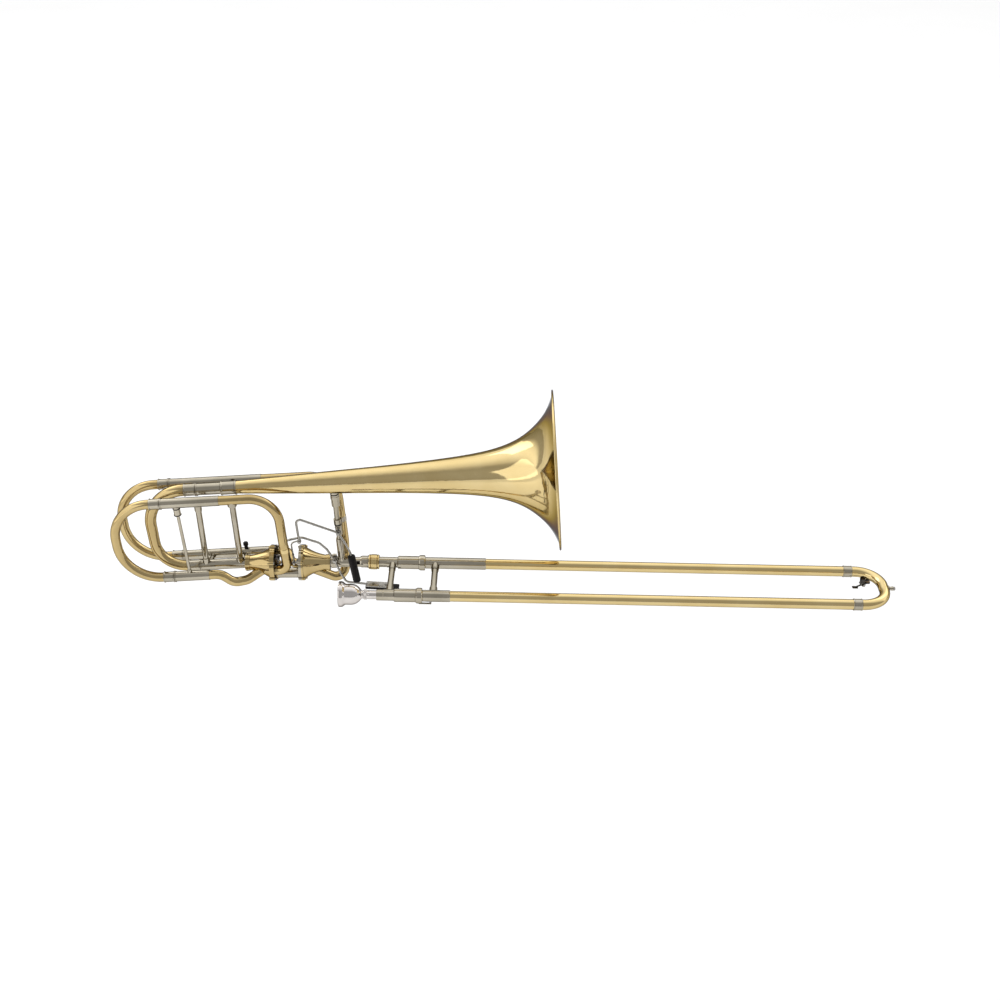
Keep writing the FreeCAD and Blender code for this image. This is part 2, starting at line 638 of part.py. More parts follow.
def valve(name):
    towards = valves[name]["towards"]
    chamber = flared(name, collar_length, flange_start, 9.4, 14.0, 23.6)
    mouth = valve_disc(name, flange_start, plate_start + 1, 23.6)
    inlet_hole = valve_disc(name, -1.0, collar_length + 1, bore_radius)
    distance, angle = side_ports[name]
    outer_point = round_valve(name, distance - 8.0, 32.0, angle)
    inner_point = round_valve(name, distance, 8.0, angle)
    side_hole = between(outer_point, inner_point, bore_radius)
    casing = valve_outside(name)
    lugs = []
    for index in range(6):
        centre = round_valve(name, flange_start, valve_plate_radius - 0.6, 30.0 + 60.0 * index)
        end = centre + Vector(towards * (plate_start - flange_start), 0, 0)
        lugs.append(between(centre, end, 3.0))
    casing = joined(casing, *lugs)
    write(name + "_valve_casing", less(casing, chamber, mouth, inlet_hole, side_hole),
          frame=valve_frame)

    plate = valve_disc(name, plate_start, casing_length, valve_plate_radius - 0.6)
    boss = valve_disc(name, casing_length, casing_length + 1.2, 6.0)
    fittings = []
    for index in range(6):
        centre = round_valve(name, plate_start, valve_plate_radius - 0.6, 30.0 + 60.0 * index)
        end = centre + Vector(towards * (casing_length - plate_start), 0, 0)
        fittings.append(between(centre, end, 3.0))
    for port_angle in (main_port_angle, loop_port_angle(name)):
        centre = round_valve(name, casing_length, valve_port_radius, port_angle)
        fittings.append(between(centre, centre + Vector(towards * 2.0, 0, 0), 8.4))
    plate = joined(plate, boss, *fittings)
    for port_angle in (main_port_angle, loop_port_angle(name)):
        centre = round_valve(name, plate_start - 1, valve_port_radius, port_angle)
        hole = between(centre, centre + Vector(towards * 9.0, 0, 0), bore_radius)
        seat = between(centre + Vector(towards * 4.0, 0, 0), centre + Vector(towards * 9.0, 0, 0),
                       loop_tube_radius + 0.01)
        plate = plate.cut(hole).cut(seat)
    plate = less(plate, valve_disc(name, plate_start - 1, casing_length + 3,
                                   spindle_radius + pin_gap))
    write(name + "_valve_back_plate", plate, frame=valve_frame)

    rotor = flared(name, collar_length + 0.4, flange_start, 9.2, 13.8, 23.4)
    rim = valve_disc(name, flange_start, plate_start - 0.1, 23.4)
    shaft = valve_disc(name, plate_start - 1, casing_length + 7.6, spindle_radius)
    rotor = joined(rotor, rim, shaft)
    port = round_valve(name, plate_start + 2, valve_port_radius, main_port_angle)
    flow_start = Vector(valve_x(name, collar_length - 2), 0, 0)
    bend_a = Vector(valve_x(name, collar_length + 8), 0, 0)
    bend_b = round_valve(name, plate_start - 9, valve_port_radius, main_port_angle)
    passage = swept([flow_start, bend_a, bend_b, port], [14.0, 14.0], bore_radius - 0.4)
    partner = main_port_angle - valves[name]["turn"]
    second = between(round_valve(name, distance - 3.0, 24.0, partner),
                     round_valve(name, plate_start + 2, 14.5, partner), 5.2)
    write(name + "_valve_rotor", less(rotor, passage, second), frame=valve_frame)

    angle = arm_rest_angle(name)
    low = casing_length + 2.0
    high = casing_length + 5.0
    tip_low = round_valve(name, low, arm_reach, angle)
    tip_high = round_valve(name, high, arm_reach, angle)
    hub = valve_disc(name, low, high, 5.0)
    web_box = Part.makeBox(high - low, arm_reach, 3.4, Vector(min(tip_low.x, tip_high.x), 0, -1.7))
    web_box.rotate(Vector(0, 0, 0), Vector(1, 0, 0), angle)
    eye = between(tip_low, tip_high, 2.8)
    stud_end = round_valve(name, high + 6.4, arm_reach, angle)
    stud = between(tip_high, stud_end, pin_radius)
    arm = joined(hub, web_box, eye, stud)
    write(name + "_stop_arm", less(arm, shaft), frame=valve_frame)


def arm_rest_angle(name):
    """The arm lies half its travel above level, so that it ends as far below."""
    return valves[name]["arm"] - valves[name]["turn"] / 2


def stop_bumpers():
    """Rubber stops on the back plates, where each arm comes to rest."""
    stops = []
    for name, side in (("gflat", 1), ("f", -1)):
        towards = valves[name]["towards"]
        for z in (-7.0, 7.0):
            y = side * 4.6
            base = Vector(valve_x(name, casing_length), y, z)
            stop = between(base, base + Vector(towards * 5.2, 0, 0), 1.0)
            stops.append(less(stop, valve_disc(name, casing_length - 1, casing_length + 1.2, 6.0)))
    write("stop_bumpers", *stops, frame=valve_frame)


def port_point(name, extra=0.0):
    """The loop port's mouth, in the bell frame; extra moves it away from the plate."""
    return valve_to_bell.multVec(round_valve(name, casing_length - 0.5 + extra,
                                             valve_port_radius, loop_port_angle(name)))


def connecting_tube():
    """Nickel tube between the two back plates, with a collar against each."""
    start = round_valve("gflat", casing_length + 2.0, valve_port_radius, main_port_angle)
    end = round_valve("f", casing_length + 2.0, valve_port_radius, main_port_angle)
    y, z = start.y, start.z
    outside = ferrule(start.x, end.x, 8.0, 7.3, y, z, 0.4, 3.0)
    nose = sleeve(start.x - 2.2, end.x + 2.2, 7.3, bore_radius - 0.2, y, z)
    write("valve_connecting_tube", joined(outside, nose), frame=valve_frame)


def neckpipe():
    """From the first valve to the bell lock, with the saddle for the finger lever."""
    narrow = valve_x("f", 0.0)
    pipe_end = -18.5
    pipe = turned([(narrow, bore_radius), (narrow, 7.75), (pipe_end, 7.75),
                   (pipe_end, bore_radius)])
    pipe.Placement = valve_frame.multiply(pipe.Placement)
    socket = turned([(-50.5, bore_radius), (-50.5, 8.0), (-48.5, 9.2), (-39.4, 9.2),
                     (-39.0, 9.9), (nut_end - 1.4, 9.9), (nut_end - 1.4, 8.46),
                     (neck_x - 9.0, 8.46), (tenon_tip, 8.06), (tenon_tip, bore_radius)],
                    half_span)
    bore = bar(narrow - 1, pipe_end + 3, bore_radius)
    bore.Placement = valve_frame.multiply(bore.Placement)
    bracket = Part.makeBox(6.8, 4.6, 20.0, finger_pivot + Vector(-4.0, 4.2, -14.0))
    rim = between(finger_pivot + Vector(0, 4.2, 0), finger_pivot + Vector(0, 8.8, 0), 3.6)
    band = bar(-104.0, -94.2, 8.9, 0.0, 6.4)
    pin_hole = between(finger_pivot, finger_pivot + Vector(0, 20, 0), pin_radius)
    saddle = joined(bracket, rim, band).cut(pin_hole)
    saddle.Placement = bell_frame.multiply(saddle.Placement)
    write("neckpipe", less(joined(pipe, socket, saddle), bore))
    full_pipe = bar(narrow - 1, pipe_end, 7.75)
    full_pipe.Placement = valve_to_bell.multiply(full_pipe.Placement)
    return full_pipe


# ---- loop tubing, in the bell frame --------------------------------------------------
def f_loop_tubes(rooms):
    y = f_loop_y
    top = f_loop_top
    low = f_loop_bottom
    distance, angle = side_ports["f"]
    into_casing = valve_to_bell.multVec(round_valve("f", distance, 12.0, angle))
    gooseneck = bent_tube([Vector(f_top_sleeve_end - 0.5, y, top), Vector(-86.0, y, top),
                           Vector(-86.0, y, 22.0), Vector(-88.5, 12.0, -36.5), into_casing],
                          [42.0, 30.0, 15.0], loop_tube_radius)
    write("f_gooseneck", less(gooseneck, *rooms), frame=bell_frame)
    end = port_point("f")
    ahead = port_point("f", 16.5)
    back = bent_tube([Vector(f_low_sleeve_end - 0.5, y, low), Vector(-178.5, y, low), ahead, end],
                     [12.0, 12.0], loop_tube_radius)
    write("f_return_tube", back, frame=bell_frame)


def gflat_loop_tubes(rooms):
    y = gflat_loop_y
    top = gflat_loop_top
    low = gflat_loop_bottom
    end = port_point("gflat")
    elbow = port_point("gflat", 21.0)
    gooseneck = bent_tube([Vector(gflat_top_sleeve_end - 0.5, y, top), Vector(-168.5, y, top),
                           Vector(-168.5, y, 62.0), elbow, end],
                          [43.0, 40.0, 17.0], loop_tube_radius)
    write("gflat_gooseneck", gooseneck, frame=bell_frame)
    distance, angle = side_ports["gflat"]
    into_casing = valve_to_bell.multVec(round_valve("gflat", distance, 12.0, angle))
    back = bent_tube([Vector(gflat_low_sleeve_end - 0.5, y, low), Vector(-272.0, y, low),
                      Vector(-254.0, y + 1.0, -2.5), Vector(-234.0, y + 6.0, -2.5), into_casing],
                     [20.0, 20.0, 22.0], loop_tube_radius)
    write("gflat_return_tube", less(back, *rooms), frame=bell_frame)


f_sleeve_start = -343.0
f_top_sleeve_end = -200.0
f_low_sleeve_end = -190.0
gflat_sleeve_start = -343.0
gflat_top_sleeve_end = -254.0
gflat_low_sleeve_end = -289.0


# ---- braces, in the bell frame -------------------------------------------------------
brace_foot = Vector(-88.0, 0, 6.2)
brace_head = Vector(-85.0, 0, bell_height - 16.0)
thumb_pivot = Vector(-86.0, -9.5, 66.0)


def bell_brace(bell_filled, pipe_room):
    """Upright brace from the neckpipe to the bell, with cups and a hinge boss."""
    rod = between(brace_foot, brace_head, 4.0)
    cup = between(Vector(-85.0, 0, 109.0), brace_head, 6.4)
    cup_band = between(Vector(-85.0, 0, 122.0), Vector(-85.0, 0, 126.0), 6.9)
    low_cup = between(Vector(-86.0, 0, 77.0), Vector(-86.0, 0, 85.0), 6.0)
    boss = between(Vector(-86.0, 0, 58.0), Vector(-86.0, 0, 77.0), 5.2)
    foot = between(brace_foot, Vector(-87.0, 0, 50.0), 5.4)
    flange = between(Vector(-88.0, 0, 6.2), Vector(-88.0, 0, 16.5), 6.1)
    stem = joined(rod, cup, cup_band, low_cup, boss, foot, flange)
    pin_hole = between(thumb_pivot - Vector(0, 9, 0), thumb_pivot + Vector(0, 9, 0), pin_radius)
    write("bell_brace", less(stem, bell_filled, pipe_room, pin_hole), frame=bell_frame)


def cross_brace(start, end, rod, head, foot):
    """A rod with a cup at each end, given as the cup's radius and length."""
    run = (end - start).normalize()
    first = between(start, start + run * head[1], head[0])
    second = between(end - run * foot[1], end, foot[0])
    return joined(between(start, end, rod), first, second)


def loop_braces():
    """Struts that tie the two loops to the main tuning slide's sleeves."""
    near = gflat_loop_y
    far = f_loop_y
    top = Vector(0, near, gflat_loop_top)
    low = Vector(0, near, gflat_loop_bottom)
    main_low = Vector(0, 0, main_bottom)
    main_top = Vector(0, 0, bell_height)
    far_top = Vector(0, far, f_loop_top)
    far_low = Vector(0, far, f_loop_bottom)
    struts = [cross_brace(top + Vector(-320, 0, 0), low + Vector(-319, 0, 0), 2.5,
                          (5.2, 21.5), (3.4, 12.0)),
              cross_brace(top + Vector(-287, 0, 0), main_low + Vector(-299, 0, 0), 4.6,
                          (5.6, 17.0), (5.6, 17.0)),
              cross_brace(top + Vector(-235, 0, 0), main_low + Vector(-245.5, 0, 0), 4.6,
                          (7.2, 10.4), (6.2, 15.0))]
    cup = (4.6, 12.0)
    for start, end in ((far_low + Vector(-295, 0, 0), main_low + Vector(-295, 0, 0)),
                       (far_low + Vector(-248, 0, 0), main_low + Vector(-248, 0, 0)),
                       (far_top + Vector(-243, 0, 0), main_top + Vector(-243, 0, 0))):
        struts.append(cross_brace(start, end, 3.6, cup, cup))
    rooms = [bar(-360, f_low_sleeve_end, loop_sleeve_radius, far, f_loop_bottom),
             bar(-360, f_top_sleeve_end, loop_sleeve_radius, far, f_loop_top),
             bar(-360, gflat_top_sleeve_end, loop_sleeve_radius, near, gflat_loop_top),
             bar(gflat_top_sleeve_end, -210, loop_tube_radius, near, gflat_loop_top),
             bar(-360, gflat_low_sleeve_end, loop_sleeve_radius, near, gflat_loop_bottom),
             bar(-360, inlet_x, 8.3, 0, main_bottom),
             bar(bell_ferrule_start, bell_ferrule_end, 10.8, 0, bell_height)]
    write("loop_braces", *[less(strut, *rooms) for strut in struts], frame=bell_frame)


# ---- levers, in the bell frame -------------------------------------------------------
finger_pivot = Vector(-97.0, -12.0, 18.0)
grip_top = Vector(-67.0, -34.0, 38.5)
grip_low = Vector(-63.0, -34.0, -8.5)
thumb_tip = Vector(-147.0, -13.0, 55.0)
finger_tip = Vector(-180.0, 12.0, 40.0)


def hinge_hole(pivot):
    return between(pivot - Vector(0, 30, 0), pivot + Vector(0, 30, 0), pin_radius + pin_gap)


def pierced_eye(centre):
    """The flat eye at a lever's tip, bored for its link's pin."""
    half = Vector(0, 1.5, 0)
    hole = between(centre - half * 2, centre + half * 2, link_pin_radius + pin_gap)
    return between(centre - half, centre + half, 3.0), hole


def thumb_lever():
    """Bent wire on a hinge: link eye at one end, the thumb's grip at the other."""
    shaft = (grip_low - grip_top).normalize()
    wire = swept([thumb_tip, Vector(-147.5, -13.0, 98.0), thumb_pivot + Vector(0, -0.9, 0),
                  Vector(-75.0, -22.0, 52.0), grip_top - shaft * 5.0, grip_low - shaft * 2.0],
                 [6.0, 8.0, 9.0, 6.0], wire_radius)
    barrel = between(thumb_pivot - Vector(0, 3.6, 0), thumb_pivot + Vector(0, 4.0, 0), 3.2)
    eye, hole = pierced_eye(thumb_tip)
    lever = joined(wire, barrel, eye)
    write("thumb_lever", less(lever, hinge_hole(thumb_pivot), hole), frame=bell_frame)
    grip = between(grip_low, grip_top, 6.0)
    rims = [edge for edge in grip.Edges if len(edge.Vertexes) == 1]
    write("thumb_grip", less(grip.makeFillet(1.6, rims), wire), frame=bell_frame)


paddle_left = Vector(-50.0, -20.0, -24.0)
paddle_right = Vector(-9.0, -20.0, -29.2)
pad_depth = 9.5                 # level underside of the pad's far end, below the paddle's left


def finger_lever():
    """Bent wire on a hinge: link ball at one end, the finger's plate and pad below."""
    wire = swept([finger_tip, Vector(-166.0, 10.8, 45.0), Vector(-145.0, 0.0, 55.0),
                  Vector(-118.0, -6.0, 47.0), Vector(-107.5, -9.0, 37.0),
                  finger_pivot + Vector(0, -1.2, 0),
                  Vector(-90.0, -16.0, -4.0), Vector(-82.0, -20.0, -18.0), paddle_left],
                 [12.0, 12.0, 14.0, 12.0, 30.0, 20.0, 9.0], wire_radius)
    barrel = between(finger_pivot - Vector(0, 3.4, 0), finger_pivot + Vector(0, 4.0, 0), 3.2)
    eye, hole = pierced_eye(finger_tip)
    run = paddle_right - paddle_left
    tilt = math.degrees(math.atan2(-run.z, run.x))
    plate = rounded_block(Vector(-2.0, -7.2, -1.1), Vector(run.Length - 6.0, 7.2, 1.1), 1.0)
    pad = rounded_block(Vector(-3.0, -7.2, -5.6), Vector(run.Length + 8.0, 7.2, -1.1), 1.8)
    for shape in (plate, pad):
        shape.rotate(Vector(0, 0, 0), Vector(0, 1, 0), tilt)
        shape.translate(paddle_left)
    pad = pad.cut(Part.makeBox(60.0, 20.0, 8.0, paddle_left + Vector(0, -10.0, -pad_depth - 8.0)))
    lever = joined(wire, barrel, eye, plate)
    write("finger_lever", less(lever, hinge_hole(finger_pivot), hole), frame=bell_frame)
    write("finger_pad", less(pad, wire), frame=bell_frame)


def lever_hinge_pins():
    """One headed pin for each lever."""
    pins = []
    for pivot, depth in ((thumb_pivot, 8.0), (finger_pivot, 8.8)):
        pin = between(pivot - Vector(0, 5.2, 0), pivot + Vector(0, depth, 0), pin_radius)
        head = between(pivot - Vector(0, 6.0, 0), pivot - Vector(0, 4.5, 0), 2.0)
        pins.append(joined(pin, head))
    write("lever_hinge_pins", *pins, frame=bell_frame)


def lever_springs():
    """A torsion spring wound close on each hinge barrel, as coils that press together."""
    springs = []
    for pivot in (thumb_pivot, finger_pivot):
        coils = [Part.makeTorus(3.75, 0.4, pivot + Vector(0, offset, 0), Vector(0, 1, 0))
                 for offset in (1.75, 2.35, 2.95, 3.55)]
        springs.append(joined(*coils))
    write("lever_springs", *springs, frame=bell_frame)


link_pin_radius = 1.0
link_eye_radius = 2.8           # loose round the stud, which swings on an arc
link_bends = {"f": [Vector(-160.5, -10.0, 52.0)], "gflat": []}


def link_rods():
    """Each link turns on a pin in its lever's eye and rings the stop arm's stud."""
    for name, tip in (("f", thumb_tip), ("gflat", finger_tip)):
        half_turn = math.radians(valve_turn / 2)
        mean_y = arm_reach * (1 + math.cos(half_turn)) / 2
        stud_y = mean_y if name == "gflat" else -mean_y
        eye = Vector(valve_x(name, casing_length + 8.2), stud_y, arm_reach * math.sin(half_turn))
        half = Vector(1.3, 0, 0)
        ring = between(eye - half, eye + half, link_eye_radius + 1.5)
        hole = between(eye - half * 2, eye + half * 2, link_eye_radius)
        ring.Placement = valve_to_bell.multiply(ring.Placement)
        hole.Placement = valve_to_bell.multiply(hole.Placement)
        head = tip + Vector(0, 3.9, 0)
        disc = between(head - Vector(0, 1.3, 0), head + Vector(0, 1.3, 0), 2.4)
        pin = between(tip - Vector(0, 2.5, 0), head, link_pin_radius)
        cap = between(tip - Vector(0, 2.9, 0), tip - Vector(0, 2.1, 0), 1.9)
        foot = valve_to_bell.multVec(eye + Vector(0, 0, link_eye_radius + 0.9))
        points = [head] + link_bends[name] + [foot]
        rod = swept(points, [6.0] * len(link_bends[name]), 1.2)
        write(name + "_link_rod", less(joined(rod, disc, pin, cap, ring), hole), frame=bell_frame)


os.makedirs("parts", exist_ok=True)
mouthpiece()
leadpipe_and_receiver()
inner_slide()
slide_tenon()
lock_nut()
inner_hand_brace()
slide_lock()
slide_lock_lug()
outer_slide()
bow_solid = slide_bow()
water_key(bow_solid)
bell_solid, bell_filled = bell()
main_tuning_slide()
loop_tuning_slide("f", f_loop_y, f_loop_top, f_loop_bottom, f_bow_x, f_sleeve_start,
                  f_top_sleeve_end, f_low_sleeve_end)
loop_tuning_slide("gflat", gflat_loop_y, gflat_loop_top, gflat_loop_bottom, gflat_bow_x,
                  gflat_sleeve_start, gflat_top_sleeve_end, gflat_low_sleeve_end)
for valve_name in valves:
    valve(valve_name)
stop_bumpers()
connecting_tube()
neckpipe_room = neckpipe()
f_loop_tubes([valve_room("f")])
gflat_loop_tubes([valve_room("gflat")])
bell_brace(bell_filled, neckpipe_room)
loop_braces()
thumb_lever()
finger_lever()
lever_hinge_pins()
lever_springs()
link_rods()
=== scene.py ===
import json
import math

import bmesh
import bpy
from mathutils import Matrix, Vector


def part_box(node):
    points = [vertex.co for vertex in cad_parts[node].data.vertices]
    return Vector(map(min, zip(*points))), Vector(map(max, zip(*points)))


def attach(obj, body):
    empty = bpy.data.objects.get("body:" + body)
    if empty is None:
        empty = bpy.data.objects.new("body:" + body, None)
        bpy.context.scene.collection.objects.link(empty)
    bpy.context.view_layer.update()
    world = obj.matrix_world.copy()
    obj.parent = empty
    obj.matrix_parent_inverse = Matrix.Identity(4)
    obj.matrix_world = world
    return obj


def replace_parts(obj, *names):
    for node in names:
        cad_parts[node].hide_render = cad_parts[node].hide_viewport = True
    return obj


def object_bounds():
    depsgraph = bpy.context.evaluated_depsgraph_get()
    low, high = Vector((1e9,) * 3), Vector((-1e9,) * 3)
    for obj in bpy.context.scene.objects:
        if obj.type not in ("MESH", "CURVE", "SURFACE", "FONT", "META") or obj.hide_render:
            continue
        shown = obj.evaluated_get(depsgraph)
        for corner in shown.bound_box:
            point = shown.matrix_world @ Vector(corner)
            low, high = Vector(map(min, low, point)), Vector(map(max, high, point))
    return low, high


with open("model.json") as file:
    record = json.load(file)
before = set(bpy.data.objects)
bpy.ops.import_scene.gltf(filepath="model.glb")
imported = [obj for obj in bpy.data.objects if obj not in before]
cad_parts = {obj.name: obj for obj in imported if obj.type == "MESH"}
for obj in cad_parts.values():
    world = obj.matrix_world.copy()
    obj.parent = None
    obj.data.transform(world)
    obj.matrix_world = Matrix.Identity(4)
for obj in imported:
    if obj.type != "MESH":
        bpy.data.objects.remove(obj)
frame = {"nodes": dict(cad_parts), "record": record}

cad_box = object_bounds()
record = frame["record"]
joints = {joint["name"]: joint for joint in record["behaviour"]["joints"]}
mounts = {mount["name"]: mount for mount in record["mounts"]}

mm = 0.001


# ---- frames, from the record's joints and mounts -------------------------------------
def frame_along(origin, along, across=(0.0, 1.0, 0.0)):
    """A frame whose X axis runs along a direction, with its Y axis near another."""
    x = Vector(along).normalized()
    z = x.cross(Vector(across)).normalized()
    turn = Matrix((x, z.cross(x), z)).transposed().to_4x4()
    return Matrix.Translation(origin) @ turn


def bell_section_frame():
    """The bell section's own frame: X along the bell, Z up, origin below the bell's axis."""
    mouth_x = 253.8 * mm
    bell_height = 150.0 * mm
    along = -Vector(joints["main_tuning_pull"]["axis"])
    mouth = frame_along(Vector(mounts["bell_seat"]["pos_m"]), along)
    return mouth @ Matrix.Translation((-mouth_x, 0.0, -bell_height))


bell_frame = bell_section_frame()


def in_bell(x, y, z):
    """A point given in millimetres in the bell section's frame."""
    return bell_frame @ Vector((x * mm, y * mm, z * mm))


def lying_in_bell(x, y, z):
    """A frame at such a point, whose X axis runs along the bell section's tubes."""
    return frame_along(in_bell(x, y, z), bell_frame.col[0].xyz)


def standing_in_bell(x, y, z):
    """A frame at such a point, whose X axis points up the bell section."""
    return frame_along(in_bell(x, y, z), bell_frame.col[2].xyz)


def valve_frame(name):
    """X runs from a valve's narrow end along its axis, and Z is up for both valves."""
    joint = joints[name + "_rotor_turn"]
    narrow_to_middle = 22.0 * mm
    axis = Vector(joint["axis"])
    across = (0.0, -axis.x, 0.0)
    return frame_along(Vector(joint["pos_m"]) + axis * narrow_to_middle, -axis, across)


# ---- camera, lights and floor --------------------------------------------------------
view_elevation = math.radians(31.0)
view_roll = math.radians(1.17)
view_distance = 2.364           # metres from what the camera aims at
view_lens = 56.17               # focal length in millimetres
aim = Vector((0.1641, 0.045, 0.1166))
floor_drop = 0.45               # the instrument is held up, clear of the floor


def camera():
    """A view from the mouthpiece's side, looking down on the instrument."""
    data = bpy.data.cameras.new("camera")
    data.lens = view_lens
    data.sensor_width = 36.0
    data.clip_end = 60.0
    taker = bpy.data.objects.new("camera", data)
    bpy.context.scene.collection.objects.link(taker)
    back = Vector((0.0, -math.cos(view_elevation), math.sin(view_elevation)))
    turn = (-back).to_track_quat("-Z", "Y").to_matrix().to_4x4()
    place = Matrix.Translation(aim + back * view_distance)
    taker.matrix_world = place @ turn @ Matrix.Rotation(view_roll, 4, "Z")
    bpy.context.scene.camera = taker


def softbox(name, offset, size, radiance):
    """A large rectangular light that faces the instrument."""
    data = bpy.data.lights.new(name, "AREA")
    data.shape = "RECTANGLE"
    data.size, data.size_y = size
    data.energy = radiance * math.pi * size[0] * size[1]
    lamp = bpy.data.objects.new(name, data)
    bpy.context.scene.collection.objects.link(lamp)
    lamp.location = aim + Vector(offset)
    lamp.rotation_euler = (-Vector(offset)).to_track_quat("-Z", "Y").to_euler()


def studio_world():
    """A tent that is bright above and behind, and dim on the camera's side of the zenith."""
    # (degrees, level) round the X axis: 0 is straight behind the instrument, 90 is the
    # zenith, 180 the camera's side and -90 straight below.
    brightness = [(-180, 0.21), (-90, 0.30), (-2, 0.24), (14, 0.24), (30, 0.66), (50, 0.77),
                  (70, 0.72), (84, 0.62), (99, 0.47), (112, 0.29), (122, 0.22), (140, 0.235),
                  (165, 0.23), (180, 0.21)]
    strength = 2.0
    world = bpy.data.worlds.new("studio")
    world.use_nodes = True
    bpy.context.scene.world = world
    nodes = world.node_tree.nodes
    links = world.node_tree.links
    place = nodes.new("ShaderNodeTexCoord")
    parts = nodes.new("ShaderNodeSeparateXYZ")
    links.new(place.outputs["Generated"], parts.inputs[0])
    angle = nodes.new("ShaderNodeMath")
    angle.operation = "ARCTAN2"
    links.new(parts.outputs["Z"], angle.inputs[0])
    links.new(parts.outputs["Y"], angle.inputs[1])
    turn = nodes.new("ShaderNodeMapRange")
    turn.inputs["From Min"].default_value = -math.pi
    turn.inputs["From Max"].default_value = math.pi
    links.new(angle.outputs[0], turn.inputs["Value"])
    ramp = nodes.new("ShaderNodeValToRGB")
    stops = ramp.color_ramp.elements
    for stop, (degrees, level) in zip((stops[0], stops[1]), (brightness[0], brightness[-1])):
        stop.position = (degrees + 180) / 360
        stop.color = (level, level, level, 1.0)
    for degrees, level in brightness[1:-1]:
        stops.new((degrees + 180) / 360).color = (level, level, level, 1.0)
    links.new(turn.outputs[0], ramp.inputs["Fac"])
    shade = nodes["Background"]
    links.new(ramp.outputs["Color"], shade.inputs["Color"])
    shade.inputs["Strength"].default_value = strength


def lights():
    """Two soft boxes behind the instrument, and one low on the left of the camera."""
    softbox("rear_left_light", (-3.2, 3.0, 2.6), (2.6, 2.6), 1.4)
    softbox("rear_right_light", (3.2, 3.0, 2.6), (2.6, 2.6), 1.0)
    softbox("left_light", (-2.2, -1.1, 0.6), (2.4, 1.9), 1.0)


def pale_floor():
    """A plain floor, wide enough to fill the camera's view."""
    mesh = bpy.data.meshes.new("floor")
    reach = 14.0
    low = cad_box[0].z - floor_drop
    corners = [(-reach, -reach, low), (reach, -reach, low), (reach, reach, low), (-reach, reach, low)]
    mesh.from_pydata(corners, [], [(0, 1, 2, 3)])
    floor = bpy.data.objects.new("floor", mesh)
    bpy.context.scene.collection.objects.link(floor)
    pale = Paint("pale_floor", Roughness=0.9)
    pale.colour(pale.noise(3.0, 4.0), [(0.3, (0.97, 0.97, 0.97)), (0.7, (0.985, 0.985, 0.985))])
    mesh.materials.append(pale.material)


# ---- materials -----------------------------------------------------------------------
class Paint:
    """One procedural material, with short ways to add its nodes. Scales are per metre."""

    def __init__(self, name, **sockets):
        self.material = bpy.data.materials.new(name)
        self.material.use_nodes = True
        self.tree = self.material.node_tree
        self.surface = self.tree.nodes["Principled BSDF"]
        for socket, value in sockets.items():
            self.surface.inputs[socket.replace("_", " ")].default_value = value
        self.place = self.tree.nodes.new("ShaderNodeTexCoord").outputs["Object"]

    def stretched(self, scale, turn=(0.0, 0.0, 0.0)):
        """The object's coordinates, turned and then scaled along each axis."""
        node = self.tree.nodes.new("ShaderNodeMapping")
        node.inputs["Rotation"].default_value = turn
        node.inputs["Scale"].default_value = scale
        self.tree.links.new(self.place, node.inputs["Vector"])
        return node.outputs["Vector"]

    def noise(self, scale, detail, vector=None, distortion=0.0):
        """Soft clouds of values between 0 and 1."""
        node = self.tree.nodes.new("ShaderNodeTexNoise")
        node.inputs["Scale"].default_value = scale
        node.inputs["Detail"].default_value = detail
        node.inputs["Distortion"].default_value = distortion
        self.tree.links.new(vector or self.place, node.inputs["Vector"])
        return node.outputs["Fac"]

    def cells(self, scale):
        """The distance to the nearest of many scattered points, as in cork."""
        node = self.tree.nodes.new("ShaderNodeTexVoronoi")
        node.inputs["Scale"].default_value = scale
        self.tree.links.new(self.place, node.inputs["Vector"])
        return node.outputs["Distance"]

    def ranged(self, value, low, high, start=0.3, end=0.7):
        """A value between start and end, spread over low to high."""
        node = self.tree.nodes.new("ShaderNodeMapRange")
        node.inputs["From Min"].default_value = start
        node.inputs["From Max"].default_value = end
        node.inputs["To Min"].default_value = low
        node.inputs["To Max"].default_value = high
        self.tree.links.new(value, node.inputs["Value"])
        return node.outputs[0]

    def mixed(self, first, second):
        """The sum of two values."""
        node = self.tree.nodes.new("ShaderNodeMath")
        self.tree.links.new(first, node.inputs[0])
        self.tree.links.new(second, node.inputs[1])
        return node.outputs[0]

    def colour(self, value, stops):
        """Base colour from a value between 0 and 1, by the stops of a ramp."""
        node = self.tree.nodes.new("ShaderNodeValToRGB")
        ramp = node.color_ramp.elements
        for element, (place, shade) in zip(ramp, (stops[0], stops[-1])):
            element.position = place
            element.color = (*shade, 1.0)
        for place, shade in stops[1:-1]:
            ramp.new(place).color = (*shade, 1.0)
        self.tree.links.new(value, node.inputs["Fac"])
        self.tree.links.new(node.outputs["Color"], self.surface.inputs["Base Color"])

    def roughness(self, value):
        self.tree.links.new(value, self.surface.inputs["Roughness"])

    def bump(self, value, distance, strength):
        """Raises the surface by a value times a distance in metres."""
        node = self.tree.nodes.new("ShaderNodeBump")
        node.inputs["Strength"].default_value = strength
        node.inputs["Distance"].default_value = distance
        self.tree.links.new(value, node.inputs["Height"])
        self.tree.links.new(node.outputs["Normal"], self.surface.inputs["Normal"])


edge_shade_tint = (0.04, 0.03, 0.02, 1.0)     # metals darken where seen edge-on: painted shade for the dark reflections along the tubes' edges
